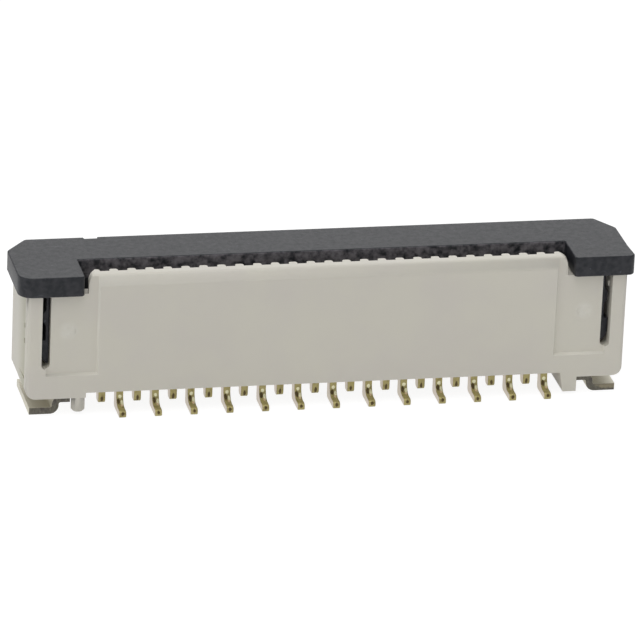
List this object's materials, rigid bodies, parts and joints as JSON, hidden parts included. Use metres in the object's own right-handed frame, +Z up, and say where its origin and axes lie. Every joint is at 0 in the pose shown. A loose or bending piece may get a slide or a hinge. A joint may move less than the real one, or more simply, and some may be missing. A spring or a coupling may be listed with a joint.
{
  "type": "flat cable connector",
  "caption": "Vertical surface-mount connector for a flat flexible cable, with a slide-lock bar, a comb of fork contacts and solder tabs at both ends.",
  "frame": {"origin": "on the board plane, under the middle of the connector", "axes": "+X along the contact row, -Y towards the front wall with the recessed end panels, +Z up from the board"},
  "size_m": [0.0174, 0.0032, 0.0041],
  "materials": {
    "housing_plastic": "ivory high-temperature moulding, satin",
    "slider_plastic": "black moulding, dry satin with fine scuffs",
    "contact_metal": "gold plated copper alloy, blanked edges",
    "tab_metal": "tin plated copper alloy, matt, darker cut edges"
  },
  "bodies": {
    "housing": {"housing": "housing_plastic", "nail_left": "tab_metal", "nail_right": "tab_metal", "contact_01": "contact_metal", "contact_02": "contact_metal", "contact_03": "contact_metal", "contact_04": "contact_metal", "contact_05": "contact_metal", "contact_06": "contact_metal", "contact_07": "contact_metal", "contact_08": "contact_metal", "contact_09": "contact_metal", "contact_10": "contact_metal", "contact_11": "contact_metal", "contact_12": "contact_metal", "contact_13": "contact_metal", "contact_14": "contact_metal", "contact_15": "contact_metal", "contact_16": "contact_metal", "contact_17": "contact_metal", "contact_18": "contact_metal", "contact_19": "contact_metal", "contact_20": "contact_metal", "contact_21": "contact_metal", "contact_22": "contact_metal", "contact_23": "contact_metal", "contact_24": "contact_metal", "contact_25": "contact_metal", "contact_26": "contact_metal"},
    "slider": {"slider": "slider_plastic"}
  },
  "joints": [
    {"name": "slider_lift", "type": "slide", "parent": "housing", "child": "slider", "axis": [0, 0, 1], "range_m": [0, 0.0009]}
  ]
}
